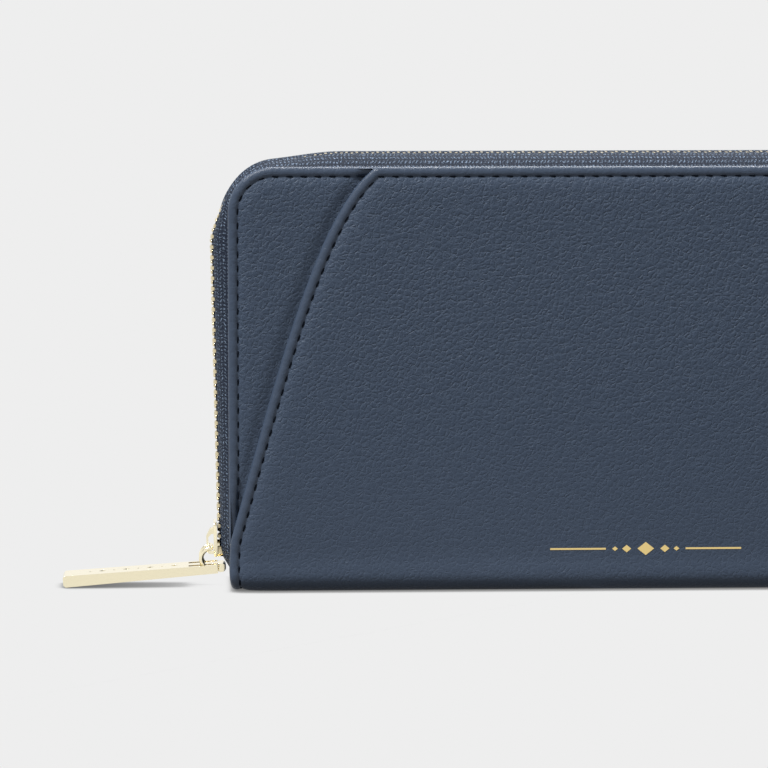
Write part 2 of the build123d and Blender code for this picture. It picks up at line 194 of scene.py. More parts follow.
def stood_up(flat, depth):
    """Points at a depth, from their x and z. depth is one number or one per point."""
    return np.column_stack([flat[:, 0], np.broadcast_to(depth, len(flat)), flat[:, 1]])


def level_line(xs, height):
    """Flat points at the given places, all at one height."""
    return np.column_stack([xs, np.full(len(xs), height)])


def along(path):
    """Distance of each point of a path from its start."""
    return np.concatenate([[0], np.cumsum(np.linalg.norm(np.diff(path, axis=0), axis=1))])


def points_along(path, places):
    """The points of a flat path at the given distances from its start."""
    s = along(path)
    return np.column_stack([np.interp(places, s, path[:, 0]), np.interp(places, s, path[:, 1])])


def resample(path, step):
    """The same path with points spaced evenly, about a step apart."""
    length = along(path)[-1]
    return points_along(path, np.linspace(0, length, max(2, int(round(length / step)) + 1)))


def inward(path):
    """Unit vectors to the right of travel, which is inwards for a path that runs clockwise."""
    way = unit(np.gradient(path, axis=0))
    return np.column_stack([way[:, 1], -way[:, 0]])


def bezier(points, count):
    """A cubic curve with the given four control points."""
    p = [np.array(q, float) for q in points]
    t = np.linspace(0, 1, count)[:, None]
    return (1 - t) ** 3 * p[0] + 3 * (1 - t) ** 2 * t * p[1] + 3 * (1 - t) * t * t * p[2] + t ** 3 * p[3]


def nearest(points, path):
    """Distance of each point from a path, and how far along the path its nearest spot is."""
    s = along(path)
    a, b = path[:-1], path[1:]
    ab = b - a
    squared = (ab ** 2).sum(1)
    distance = np.empty(len(points))
    place = np.empty(len(points))
    for i in range(0, len(points), 4000):
        p = points[i:i + 4000, None, :]
        t = np.clip(((p - a) * ab).sum(2) / squared, 0, 1)
        gap = np.linalg.norm(p - (a + t[:, :, None] * ab), axis=2)
        k = gap.argmin(1)
        rows = np.arange(len(k))
        distance[i:i + 4000] = gap[rows, k]
        place[i:i + 4000] = s[k] + t[rows, k] * np.sqrt(squared[k])
    return distance, place


# ---------------------------------------------------------------- leather skins

# Section of a turned edge, as (distance in from the edge, height off the face): over the rim, down into the
# stitch groove and up onto the padded face, and then from the rim down round the edge
RIM_TOP = [(0.45, -0.5), (0.7, -0.36), (1.0, -0.27), (1.3, -0.24), (1.6, -0.27), (1.85, -0.36), (2.05, -0.52),
           (2.3, -0.72), (2.45, -0.66), (2.6, -0.56), (2.8, -0.44), (3.2, -0.28), (3.8, -0.14), (4.6, -0.03),
           (6.0, 0.05), (8.0, 0.1), (12.0, 0.12)]
RIM_SIDE = [(0.45, -0.5), (0.25, -0.66), (0.08, -0.88), (0.0, -1.1), (0.02, -1.25), (0.12, -1.4), (0.4, -1.6),
            (1.0, -1.75), (2.6, -1.85)]

# Distances from the edge at which a sheet's mesh has rings of points
RINGS = [0.45, 0.7, 1.0, 1.3, 1.6, 1.85, 2.05, 2.3, 2.55, 2.8, 3.2, 3.8, 4.6, 5.6, 7.0]
EDGE_STEP = 0.55

# Grain left on the rim, where the leather is stretched
RIM_GRAIN = 0.3

# Between stitches the groove is shallower by this much and the rim higher, most in its middle
GROOVE_RISE = 0.16
RIM_SWELL = 0.07
RIM_MIDDLE = 1.15

# The skin's swell just above the fold: its height, its place up the sheet and how far it spreads
BULGE = 0.4
BULGE_V = 4.0
BULGE_SPREAD = 3.0


def wrap(uv, height, side):
    """Puts flat points at a height off a cover's face and round the fold."""
    u, v = uv[:, 0], uv[:, 1]
    angle = np.clip((FOLD_RADIUS - v) / FOLD_RADIUS, 0, math.pi / 2)
    flat = np.clip(FLAT_V - v, 0, None)
    centre_y = FACE - FOLD_RADIUS - flat
    y = centre_y + (FOLD_RADIUS + height) * np.cos(angle)
    z = FOLD_RADIUS - (FOLD_RADIUS + height) * np.sin(angle) + np.clip(v - FOLD_RADIUS, 0, None)
    return np.column_stack([u, side * y, z])


def fold_bulge(v):
    """The skin swells a little just above the fold."""
    return BULGE * np.exp(-((v - BULGE_V) / BULGE_SPREAD) ** 2)


def rim_height(distance, place, level):
    """Height of the skin near a stitched edge, where stitches pull it down."""
    height = np.interp(distance, [p[0] for p in RIM_TOP], [p[1] for p in RIM_TOP])
    pull = np.exp(-((distance - STITCH_INSET) / 0.45) ** 2)
    gap = 0.5 - 0.5 * np.cos(2 * math.pi * place / STITCH_PITCH)
    swell = np.exp(-((distance - RIM_MIDDLE) / 0.6) ** 2)
    return level + height + GROOVE_RISE * pull * gap + RIM_SWELL * swell * (gap - 0.5)


def sheet_grid(path, edge):
    """Staggered points inside the rings, in closer rows near the fold."""
    low, high = edge.min(0), edge.max(0)
    rows = np.concatenate([np.arange(low[1] + 0.7, 8, 0.7), np.arange(8, high[1], 1.3)])
    across = np.arange(low[0], high[0], 1.3)
    grid = np.array([(u + 0.65 * (k % 2), v) for k, v in enumerate(rows) for u in across])
    return grid[nearest(grid, path)[0] > RINGS[-1] + 0.6]


def straight_foot(edge):
    """Points of the straight line that closes an edge from its end back to its start."""
    return level_line(np.arange(edge[-1, 0] - 1.0, edge[0, 0] + 0.5, -1.0), edge[0, 1])


def sheet_layout(path, closing):
    """The flat mesh of a sheet inside an open path: points and faces. closing joins the path's ends."""
    normals = inward(path)
    edge = path + normals * RINGS[0]
    clouds = [edge]
    for d in RINGS[1:]:
        ring = path + normals * d
        clouds.append(ring[nearest(ring, path)[0] > d - 0.04])
    clouds.append(sheet_grid(path, edge))
    first = sum(len(c) for c in clouds)
    if closing is None:
        closing = straight_foot(edge)
    clouds.append(closing)
    border = list(range(len(edge))) + list(range(first, first + len(closing)))
    found = delaunay_2d_cdt([Vector(p) for p in np.vstack(clouds)], [], [border[::-1]], 1, 1e-4)
    return np.array([tuple(p) for p in found[0]]), found[2]


def sheet_rim(path, side, level):
    """The turned-under edge of a sheet: points, faces and flat coordinates."""
    normals = inward(path)
    points, flat = [], []
    for d, h in RIM_SIDE:
        ring = path + normals * d
        points.append(wrap(ring, level + h + fold_bulge(ring[:, 1]), side))
        flat.append(path + normals * (RINGS[0] * 2 - 1.2 * h - d if d < RINGS[0] else d))
    return np.vstack(points), strip_faces(len(RIM_SIDE), len(path)), np.vstack(flat)


def sheet(path, side, level, closing=None):
    """A skin inside a clockwise path, with a turned-under edge. With a closing line it dips under the seam.
    The grain gets fainter towards the fold and on the rim."""
    path = resample(path, EDGE_STEP)
    uv, faces = sheet_layout(path, closing)
    distance, place = nearest(uv, path)
    height = rim_height(distance, place, level) + fold_bulge(uv[:, 1])
    if closing is not None:
        height -= SEAM_DIP * np.exp(-(nearest(uv, seam_points())[0] / 1.7) ** 2)
    rim_points, rim_faces, rim_flat = sheet_rim(path, side, level)
    points, faces = joined([(wrap(uv, height, side), faces), (rim_points, rim_faces)])
    stretched = 0.5 + 0.55 * smooth_step(uv[:, 1], 2.0, 75.0)
    grain = np.interp(distance, [2.0, 3.0], [RIM_GRAIN, 1.0]) * stretched
    grain = np.concatenate([grain, np.full(len(rim_points), RIM_GRAIN * 0.5)])
    return points, faces, np.vstack([uv, rim_flat]), grain


def weld(piece):
    """Joins points that lie on each other and turns every face outwards."""
    mesh = bmesh.new()
    mesh.from_mesh(piece.data)
    bmesh.ops.remove_doubles(mesh, verts=mesh.verts, dist=1e-6)
    bmesh.ops.recalc_face_normals(mesh, faces=mesh.faces)
    mesh.to_mesh(piece.data)
    mesh.free()
    piece.data.polygons.foreach_set("use_smooth", [True] * len(piece.data.polygons))
    return piece


def foot_rounding(path):
    """Draws the sides in a little where the sheet goes round the fold."""
    pull = 0.55 * (1 - smooth_step(path[:, 1], -2.0, 6.0))
    return np.column_stack([path[:, 0] - np.sign(path[:, 0]) * pull, path[:, 1]])


def cover_path(inset=0.0, foot_v=MIDDLE_V):
    """A cover's outline, or a line at an inset from it, from foot to foot."""
    return rounded_path(HALF_WIDTH - inset, foot_v, HEIGHT - inset, COVER_RADIUS - inset, (220, 40, 300))


# The corner panel lies lower than the main panel and dips further under the seam between them
CORNER_LEVEL = -0.65
SEAM_DIP = 0.8
SEAM_FOOT = (-99.45, 13.0)
SEAM_TOP = (-64.7, HEIGHT)


def seam_points():
    """The lapped seam from its foot to the top edge."""
    return bezier([SEAM_FOOT, (-88.0, 54.0), (-78.5, 92.0), SEAM_TOP], 160)


def main_panel_path():
    """Outline of the main front panel: a short left edge, the seam, the top and the right side."""
    short_edge = bezier([(-99.9, MIDDLE_V), (-100.1, 4.0), (-100.0, 10.0), SEAM_FOOT], 60)
    seam = seam_points()
    whole = cover_path()
    rest = whole[(whole[:, 0] > SEAM_TOP[0] + 1.0) & (whole[:, 1] < HEIGHT + 1)]
    rest = rest[(rest[:, 1] > HEIGHT - 0.01) | (rest[:, 0] > 0)]
    corner = bezier([seam[-3], seam[-1], seam[-1], rest[0]], 9)
    path = np.vstack([short_edge[:-1], seam[:-3], corner, rest[1:]])
    return foot_rounding(path)


def build_main_skin():
    """The front's main panel, which runs on round the fold."""
    points, faces, uv, grain = sheet(main_panel_path(), -1, 0.0)
    piece = weld(make_piece("front_main_leather", points, faces, leather, uv, values=grain))
    nodes = ("front_main_panel", "spine_leather", "front_wadding", "front_board")
    bend(piece, nodes)


def corner_side(path, seam_gap):
    """The part of a cover's outline that ends on the top edge, seam_gap past the seam."""
    below_top = path[:, 1] < HEIGHT - 0.01
    return path[(path[:, 0] < 0) & (below_top | (path[:, 0] < SEAM_TOP[0] + seam_gap))]


def build_corner_skin():
    """The front's corner panel, whose right side lies under the seam and whose foot is drawn in."""
    outline = cover_path(0.0, 7.0)
    tuck = 0.7 * (1 - smooth_step(outline[:, 1], 8.0, 13.0))
    outline = np.column_stack([outline[:, 0] - np.sign(outline[:, 0]) * tuck, outline[:, 1]])
    seam = resample(seam_points(), 0.8)
    under = seam + inward(seam) * 3.0
    under = under[(under[:, 1] < HEIGHT - 1.2) & (under[:, 1] > 16)][::-1]
    points, faces, uv, grain = sheet(corner_side(outline, 3), -1, CORNER_LEVEL, closing=under)
    piece = weld(make_piece("front_corner_leather", points, faces, leather, uv, values=grain))
    ride(piece, "front_cover", "front_corner_panel", slot="navy_leather")


def build_back_skin():
    """The back's single panel. Its flat coordinates are moved along, so that its grain isn't the front's."""
    points, faces, uv, grain = sheet(foot_rounding(cover_path()), 1, 0.0)
    piece = weld(make_piece("back_leather", points, faces, leather, uv + [400, 0], values=grain))
    bend(piece, ("back_panel", "back_wadding", "back_board"))


# ---------------------------------------------------------------- stitching

def stitch_mesh(centres, ways, outs, length, radius):
    """Separate stitches: short rods whose ends dip into the leather."""
    steps, sides = 7, 8
    t = np.linspace(-1, 1, steps)
    parts = []
    faces = strip_faces(steps, sides, closed=True)
    faces += [tuple(range(sides))[::-1], tuple(range((steps - 1) * sides, steps * sides))]
    for centre, way, out in zip(centres, ways, outs):
        across = np.cross(way, out)
        rings = []
        for x in t:
            middle = centre + way * (x * length / 2) - out * (0.22 * abs(x) ** 3)
            r = radius * math.sqrt(max(0.12, 1 - abs(x) ** 6))
            a = np.linspace(0, 2 * math.pi, sides, endpoint=False)
            rings.append(middle + np.outer(np.cos(a) * r, out) + np.outer(np.sin(a) * r, across))
        parts.append((np.vstack(rings), faces))
    return joined(parts)


def stitch_line(line, side, height, start=1.7):
    """Stitches on a cover's face along a flat line, at a height off the face. Each is turned a little."""
    places = np.arange(start, along(line)[-1], STITCH_PITCH)
    flat = points_along(line, places)
    heights = height + fold_bulge(flat[:, 1])
    here = wrap(flat, heights, side)
    ahead = wrap(points_along(line, places + 0.2), heights, side)
    above = wrap(flat, heights + 0.5, side)
    way, out = unit(ahead - here), unit(above - here)
    return stitch_mesh(here, way + 0.09 * np.cross(way, out), out, 2.0, 0.18)


def offset_line(path, distance, low_v):
    """A line at a distance inside a path, above low_v only."""
    path = resample(path, 0.5)
    line = path + inward(path) * distance
    return line[line[:, 1] > low_v]


def build_stitching():
    """The seams round the main panel, the corner panel and the back."""
    border = offset_line(main_panel_path(), STITCH_INSET, MIDDLE_V + 1)
    points, faces = stitch_line(border, -1, THREAD_HEIGHT)
    piece = make_piece("front_main_stitches", points, faces, thread)
    bend(piece, ("seam_stitching", "front_edge_stitching"))
    corner = offset_line(corner_side(cover_path(0.0, 14.0), -1.5), STITCH_INSET, 19.0)
    points, faces = stitch_line(corner, -1, THREAD_HEIGHT + CORNER_LEVEL, start=0.4)
    ride(make_piece("front_corner_stitches", points, faces, thread), "front_cover", slot="thread")
    back = offset_line(foot_rounding(cover_path()), STITCH_INSET, MIDDLE_V + 1)
    points, faces = stitch_line(back, 1, THREAD_HEIGHT)
    piece = make_piece("back_stitches", points, faces, thread)
    bend(piece, ("back_edge_stitching",))


# ---------------------------------------------------------------- main zip

# Numbers of points on a side, a corner and the top
ZIP_COUNTS = (180, 60, 240)

# The hidden start of the tape between leather and lining, as (inset, depth)
TAPE_START = [(1.5, 10.35), (0.25, 10.35)]

# Where the tape comes out from under the leather, and the width that its knit is laid out on
TAPE_INSET = 0.8
TAPE_DEPTH = 10.15
TAPE_WIDTH = 8.4
CORD_RADIUS = 0.55


def zip_path():
    """The line of the teeth from foot to foot, as (x, z), and how far the tape swells beside it. It bulges
    out past the covers along the straight edges and draws in at the corners."""
    base = rounded_path(HALF_WIDTH, 0.0, HEIGHT, COVER_RADIUS, ZIP_COUNTS)
    s = along(base)
    corner = s[ZIP_COUNTS[0] + ZIP_COUNTS[1] // 2]
    from_left, from_right = s - corner, s - (s[-1] - corner)
    on_side = (from_left < 0) | (from_right > 0)
    rise = smooth_step(np.minimum(abs(from_left), abs(from_right)), 0.5, np.where(on_side, 16.5, 25.0))
    side = ZIP_FOOT_OUT + ZIP_LEAN * base[:, 1]
    full = np.where(on_side, side, ZIP_TOP_OUT)
    straight_crest = np.where(on_side, TAPE_CREST, TAPE_TOP_CREST)
    bulge = ZIP_CORNER_OUT + (full - ZIP_CORNER_OUT) * rise
    crest = TAPE_CORNER_CREST + (straight_crest - TAPE_CORNER_CREST) * rise
    return base - inward(base) * bulge[:, None], crest


def tape_cord(outer, tuck, s, edge_y, side):
    """The rounded cord at the tape's edge: rows of points and their flat coordinates."""
    outward = -inward(outer)
    rows, uvs = [], []
    for k in range(1, 10):
        a = math.pi * (0.5 - k / 9)
        xz = outer + tuck + outward * (CORD_RADIUS * math.sin(a) - CORD_RADIUS * 0.4)
        y = edge_y - CORD_RADIUS * math.cos(a) * 0.8
        rows.append(stood_up(xz, side * np.maximum(y, 0.05)))
        uvs.append(level_line(s, TAPE_WIDTH + 0.17 * k))
    return rows, uvs


def build_tape(side, name):
    """The knitted tape, from under the leather's edge to the cord that carries the teeth."""
    radius = COVER_RADIUS - TAPE_INSET
    inner = rounded_path(HALF_WIDTH - TAPE_INSET, 0.0, HEIGHT - TAPE_INSET, radius, ZIP_COUNTS)
    outer, crest = zip_path()
    keep = outer[:, 1] > 2.6
    inner, outer, crest = inner[keep], outer[keep], crest[keep]
    s = along(outer)
    z = outer[:, 1]
    tuck = 3.4 * (1 - smooth_step(z, 1.0, 10.5)) ** 1.3 * -np.sign(outer[:, 0])
    tuck = np.column_stack([tuck, 0 * tuck])
    edge_y = 0.35 + 1.35 * smooth_step(z, 7.0, 11.0)
    outward = -inward(outer)
    rows, uvs = [], []
    for inset, depth in TAPE_START:
        xz = inner + inward(inner) * inset
        rows.append(stood_up(xz + tuck * 0.35, side * depth))
        uvs.append(level_line(s, -inset))
    for t in np.linspace(0, 1, 16):
        ease = math.sin(t * math.pi / 2) ** 0.9
        xz = inner + (outer - inner) * ease + outward * (crest * math.sin(t * math.pi) ** 1.3)[:, None]
        y = TAPE_DEPTH + (edge_y - TAPE_DEPTH) * t
        rows.append(stood_up(xz + tuck * (0.35 + 0.65 * ease), side * y))
        uvs.append(level_line(s, TAPE_WIDTH * t))
    cord_rows, cord_uvs = tape_cord(outer, tuck, s, edge_y, side)
    piece = make_grid(name, rows + cord_rows, tape, uvs + cord_uvs)
    bend(piece, (name.replace("_cloth", ""),))


def tooth_shape():
    """One tooth: x is along the zip, y runs from its head to its legs, z is its thickness."""
    sections = [(-0.75, 0.42, 0.26), (-0.6, 0.62, 0.36), (-0.2, 0.74, 0.43), (0.45, 0.74, 0.45),
                (0.9, 0.6, 0.37), (1.3, 0.74, 0.4), (1.8, 0.8, 0.45), (2.6, 0.8, 0.45), (2.95, 0.66, 0.38)]
    corner = [(1, 0.55), (0.62, 1), (-0.62, 1), (-1, 0.55), (-1, -0.55), (-0.62, -1), (0.62, -1), (1, -0.55)]
    points = [(c[0] * half_x, y, c[1] * half_z) for y, half_z, half_x in sections for c in corner]
    faces = strip_faces(len(sections), len(corner), closed=True)
    faces += [tuple(range(8))[::-1], tuple(range(8 * len(sections) - 8, 8 * len(sections)))]
    return np.array(points), faces


def build_teeth(side, body, name, phase):
    """One row of teeth. The other row's teeth stand half a pitch further on."""
    path = resample(zip_path()[0], 0.25)
    s = along(path)
    outward = -inward(path)
    start = s[np.argmax(path[:, 1] > TEETH_START_Z)]
    points, faces = tooth_shape()
    parts = []
    for place in np.arange(start + phase, s[-1] - TEETH_END_GAP, TOOTH_PITCH):
        k = min(int(np.searchsorted(s, place)), len(s) - 2)
        out = np.array([outward[k, 0], 0, outward[k, 1]])
        middle = np.array([path[k, 0], 0, path[k, 1]]) - out * TOOTH_SINK * max(0.0, outward[k, 1])
        way = np.array([-outward[k, 1], 0, outward[k, 0]])
        across = np.array([0, side, 0])
        parts.append((middle + points @ np.array([way, across, out]), faces))
    points, faces = joined(parts)
    piece = make_piece(name + "_row", points, faces, tooth_gold)
    shade_by_angle(piece)
    ride(piece, body, name, slot="zip_gold")


def shade_by_angle(piece):
    """Keeps hard corners crisp on smooth-shaded metal."""
    mesh = bmesh.new()
    mesh.from_mesh(piece.data)
    bmesh.ops.recalc_face_normals(mesh, faces=mesh.faces)
    for edge in mesh.edges:
        if len(edge.link_faces) == 2 and edge.calc_face_angle() > 0.9:
            edge.smooth = False
    mesh.to_mesh(piece.data)
    mesh.free()


# ---------------------------------------------------------------- metal pieces kept from the CAD model

def polish(node, material, width):
    """Gives a CAD node its material and small rounded edges."""
    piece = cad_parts[node]
    piece.data.materials.clear()
    piece.data.materials.append(material)
    join = piece.modifiers.new("join", "WELD")
    join.merge_threshold = 1e-6
    if width:
        bevel = piece.modifiers.new("edges", "BEVEL")
        bevel.width = width * MM
        bevel.segments = 3
        bevel.limit_method = "ANGLE"
        bevel.angle_limit = 0.6
        bevel.use_clamp_overlap = True
    piece.data.polygons.foreach_set("use_smooth", [True] * len(piece.data.polygons))
    normals = piece.modifiers.new("normals", "WEIGHTED_NORMAL")
    normals.keep_sharp = False


# ---------------------------------------------------------------- foil ornament

ORNAMENT_Z = 10.15
FOIL_OUT = 0.19


def build_ornament():
    """A generic foil ornament low on the front: lozenges between two fine lines."""
    parts = []

    def plate(corners):
        n = len(corners)
        front = [(x, -FACE - FOIL_OUT, ORNAMENT_Z + h) for x, h in corners]
        back = [(x, -FACE + 0.1, ORNAMENT_Z + h) for x, h in corners]
        sides = [(i, (i + 1) % n, n + (i + 1) % n, n + i) for i in range(n)]
        parts.append((np.array(front + back), [tuple(range(n))] + sides))

    def lozenge(x, half_width, half_height):
        plate([(x - half_width, 0), (x, -half_height), (x + half_width, 0), (x, half_height)])

    lozenge(0, 2.0, 1.6)
    for side in (-1, 1):
        lozenge(side * 4.6, 1.1, 0.9)
        lozenge(side * 7.4, 0.7, 0.55)
        ends = sorted((side * 9.6, side * 23.0))
        plate([(ends[0], -0.22), (ends[1], -0.22), (ends[1], 0.22), (ends[0], 0.22)])
    points, faces = joined(parts)
    ride(make_piece("foil_ornament", points, faces, foil, smooth=False), "front_cover", slot="pale_gold")


# ---------------------------------------------------------------- inside

def eased(count):
    """Values from 0 to 1 that come closer together towards 1."""
    return 1 - (1 - np.linspace(0, 1, count)) ** 1.6


def lining_sheet(side, body, name, nodes):
    """The cloth that lines a cover and runs on round the fold. Its border rolls out to the leather."""
    half = eased(42)
    u = np.concatenate([-half[:0:-1], half])
    v = np.concatenate([np.arange(MIDDLE_V, 12, 0.8), 12 + (HEIGHT - LINING_INSET - 12) * eased(60)])
    radius = COVER_RADIUS - LINING_INSET
    rows = []
    for height in v:
        short = min(radius, max(0.0, height - (HEIGHT - COVER_RADIUS)))
        draw = radius - math.sqrt(radius ** 2 - short ** 2)
        rows.append(level_line(u * (HALF_WIDTH - LINING_INSET - draw), height))
    flat = np.vstack(rows)
    border = nearest(flat, resample(cover_path(LINING_INSET), 1.0))[0]
    roll = 0.87 * (1 - smooth_step(border, 0.0, 1.3)) * smooth_step(flat[:, 1], 4.0, 9.0)
    thick = 1.55 + (FACE - LINING_DEPTH - 1.55) * smooth_step(flat[:, 1], 3.0, 9.0) - roll
    ripple = 0.06 * np.sin(flat[:, 0] * 0.21) * np.sin(flat[:, 1] * 0.17)
    points = wrap(flat, -thick + ripple, side)
    piece = make_piece(name, points, strip_faces(len(v), len(u)), lining, flat)
    bend(piece, nodes)
    line = offset_line(cover_path(0.0, 12.0), STITCH_INSET + 0.3, 13.0)
    inside_stitches(name + "_stitches", body, [(line, LINING_DEPTH - 0.02)], side)


def pocket_panel(node, body, side, far, half_width, z_low, z_high, material, slot, thick=0.55, sag=0.25,
                 towards=1):
    """A pocket's panel with a rounded top edge. far is the depth of its hidden face, and towards is -1 where
    its shown face looks away from the middle. Returns its line of stitches and the shown face's depth."""
    near = far - thick * towards
    z = z_low + (z_high - 0.5 - z_low) * np.linspace(0, 1, 26) ** 0.8
    section = [(near, h) for h in z]
    middle, radius = (near + far) / 2, thick / 2 + 0.08
    for a in np.linspace(0, math.pi, 9):
        section.append((middle - towards * radius * math.cos(a), z_high - radius + radius * math.sin(a)))
    section += [(far, h) for h in z[::-1]]
    section = np.array(section)
    xs = np.linspace(-half_width, half_width, 92)
    columns = []
    for x in xs:
        t = (x + half_width) / (2 * half_width)
        swell = sag * abs(math.sin(2 * math.pi * t)) * smooth_step(section[:, 1], z_low, z_high) * 0.5
        drop = 0.35 * math.sin(math.pi * t) * smooth_step(section[:, 1], z_high - 8, z_high)
        y = section[:, 0] - towards * swell * 0.5
        columns.append(np.column_stack([np.full(len(section), x), side * y, section[:, 1] - drop]))
    points = np.vstack(columns)
    faces = strip_faces(len(xs), len(section), closed=True)
    n = len(section)
    faces += [tuple(range(n)), tuple(range((len(xs) - 1) * n, len(xs) * n))[::-1]]
    uv = points[:, [0, 2]] + [0, side * 300 + far * 20]
    values = np.full(len(points), 0.3)
    name = node.removesuffix("_wall") + "_sheet"
    ride(make_piece(name, points, faces, material, uv, values=values), body, node, slot=slot)
    line = level_line(np.linspace(1.5 - half_width, half_width - 1.5, 200), z_high - 1.9)
    t = (line[:, 0] + half_width) / (2 * half_width)
    line[:, 1] -= 0.35 * np.sin(math.pi * t)
    return line, near


def inside_stitches(name, body, lines, side, towards=1):
    """Rows of small stitches on the inside. lines holds (points as x and z, depth)."""
    parts = []
    for line, depth in lines:
        places = np.arange(1.2, along(line)[-1] - 0.5, 2.6)
        here = stood_up(points_along(line, places), side * depth)
        ahead = stood_up(points_along(line, places + 0.2), side * depth)
        outs = np.tile([0.0, -side * towards, 0.0], (len(here), 1))
        parts.append(stitch_mesh(here, unit(ahead - here), outs, 1.7, 0.16))
    points, faces = joined(parts)
    ride(make_piece(name, points, faces, thread), body, slot="thread")


# Each pocket panel lies this much nearer the middle than the one behind it
PANEL_STEP = 0.7


def leather_rows(tops):
    """The rows of leather panels for build_cover_pockets, from each panel's node and top."""
    return [(node, top_z, smooth_leather, "navy_smooth_leather") for node, top_z in tops.items()]


def build_cover_pockets(side, body, label, rows):
    """Stacked pocket panels on a cover's lining, with stitches along their tops, sides and middle. rows holds
    (node, top, material, slot), starting at the lining."""
    lines = []
    hidden_depth = LINING_DEPTH - 0.1
    for i, (node, top_z, material, slot) in enumerate(rows):
        far = hidden_depth - PANEL_STEP * i
        line, near = pocket_panel(label + "_" + node, body, side, far, 91.5, 8.0, top_z, material, slot)
        lines.append((line, near - 0.06))
    steps = sorted(r[1] for r in rows[1:])
    for i, top_z in enumerate(steps):
        low = 9.0 if i == 0 else steps[i - 1] + 0.6
        depth = hidden_depth - PANEL_STEP * (len(rows) - 1 - i) - 0.6
        for x in (0.0, -90.2, 90.2):
            lines.append((np.array([(x, low), (x, top_z - 1.0)]), depth))
    inside_stitches(label + "_pocket_stitches", body, lines, side)


def build_coin_pocket():
    """The zipped pocket between the covers."""
    for side, label in ((-1, "front"), (1, "back")):
        name = "coin_pocket_" + label
        line, near = pocket_panel(name + "_wall", "spine", side, 4.45, 90, 1.6, 80.2, smooth_leather,
                                  "navy_smooth_leather", thick=0.5, sag=0.0, towards=-1)
        lines = [line] + [np.array([(x, 4.0), (x, 77.0)]) for x in (-88.3, 88.3)]
        inside_stitches(name + "_stitches", "spine", [(part, near + 0.06) for part in lines], side, -1)
    build_coin_ends()
    build_coin_zip()


def build_coin_ends():
    """The coin pocket's folded ends and its bottom."""
    z = np.linspace(2.0, 73.0, 40)
    for label, hand in (("left", -1), ("right", 1)):
        rows = []
        for t in np.linspace(-1, 1, 13):
            fold = 1.6 * (1 - abs(t)) * smooth_step(z, 2, 40)
            rows.append(stood_up(np.column_stack([hand * (89.6 - fold), z]), 4.4 * t))
        piece = make_grid("coin_pocket_" + label + "_fold", rows, lining, [row[:, 1:] for row in rows])
        ride(piece, "spine", "coin_pocket_" + label + "_end", slot="navy_lining")
    line = level_line(np.linspace(-90, 90, 60), 1.9)
    rows = [stood_up(line, y) for y in np.linspace(-4.4, 4.4, 5)]
    piece = make_grid("coin_pocket_floor", rows, lining, [row[:, :2] for row in rows])
    ride(piece, "spine", "coin_pocket_bottom", slot="navy_lining")


COIN_ZIP_Z = 82.0


def build_coin_zip():
    """The tapes and coils of the coin pocket's zip."""
    xs = np.linspace(-86, 86, 200)
    section = [(4.25, 74.5), (4.3, 78.0), (4.35, 80.0), (4.25, 81.2), (3.8, 81.85), (3.0, COIN_ZIP_Z),
               (2.2, COIN_ZIP_Z), (1.45, COIN_ZIP_Z)]
    uvs = [level_line(xs, width) for width in along(np.array(section))]
    for side, label in ((-1, "front"), (1, "back")):
        rows = [stood_up(level_line(xs, z), side * y) for y, z in section]
        piece = make_grid("coin_zip_" + label + "_cloth", rows, tape, uvs)
        ride(piece, "spine", "coin_zip_" + label + "_tape", slot="zip_tape")
        build_coil(side, label)


def build_coil(side, label):
    """A nylon coil: a fine wire wound along the tape's edge. The back coil is half a turn further on."""
    pitch, wire, sides = 1.27, 0.22, 6
    x_low, x_high = -77.2, 84.0
    turns = (x_high - x_low) / pitch
    t = np.linspace(0, turns, int(turns * 12))
    a = 2 * math.pi * (t + (0.0 if side < 0 else 0.5))
    y, z = side * (0.75 + 0.85 * np.cos(a)), COIN_ZIP_Z + 0.62 * np.sin(a)
    line = np.column_stack([x_low + pitch * t, y, z])
    way = unit(np.gradient(line, axis=0))
    first = unit(np.cross(way, [1.0, 0.0, 0.0]))
    second = np.cross(way, first)
    rings = []
    for b in np.linspace(0, 2 * math.pi, sides, endpoint=False):
        rings.append(line + wire * (math.cos(b) * first + math.sin(b) * second))
    points = np.stack(rings, axis=1).reshape(-1, 3)
    faces = strip_faces(len(t), sides, closed=True)
    piece = make_piece("coin_zip_" + label + "_winding", points, faces, nylon)
    ride(piece, "spine", "coin_zip_" + label + "_coil", slot="coil")


# Depths at which a gusset is fixed to the coin pocket and to the cover's lining
GUSSET_INNER = 5.15
GUSSET_OUTER = LINING_DEPTH - 0.35


def build_gusset(side, hand, node):
    """A cloth side that joins the coin pocket to a cover. Its fold reaches further in towards the top."""
    z = np.linspace(4.0, 80.0, 40)
    reach = 2.0 + 27.0 * ((z - 4.0) / 76.0)
    rows = []
    for t in np.linspace(0, 1, 25):
        fold = max(0.0, math.sin(math.pi * t)) ** 0.9
        share = 0.5 - 0.5 * math.cos(math.pi * t) * 0.35 + (t - 0.5) * 0.65
        depth = GUSSET_INNER + (GUSSET_OUTER - GUSSET_INNER) * share
        x = 93.6 - 3.0 * (1 - t) * smooth_step(t, 0, 1) - reach * fold
        rows.append(stood_up(np.column_stack([hand * x, z]), side * depth))
    piece = make_grid(node + "_cloth", rows, lining, [row[:, [0, 2]] for row in rows])
    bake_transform(piece)
    finish_piece((node,))


# ---------------------------------------------------------------- materials

def colour(r, g, b):
    """A linear colour from screen values of 0 to 255."""
    def channel(c):
        c /= 255
        return c / 12.92 if c <= 0.04045 else ((c + 0.055) / 1.055) ** 2.4
    return (channel(r), channel(g), channel(b), 1)


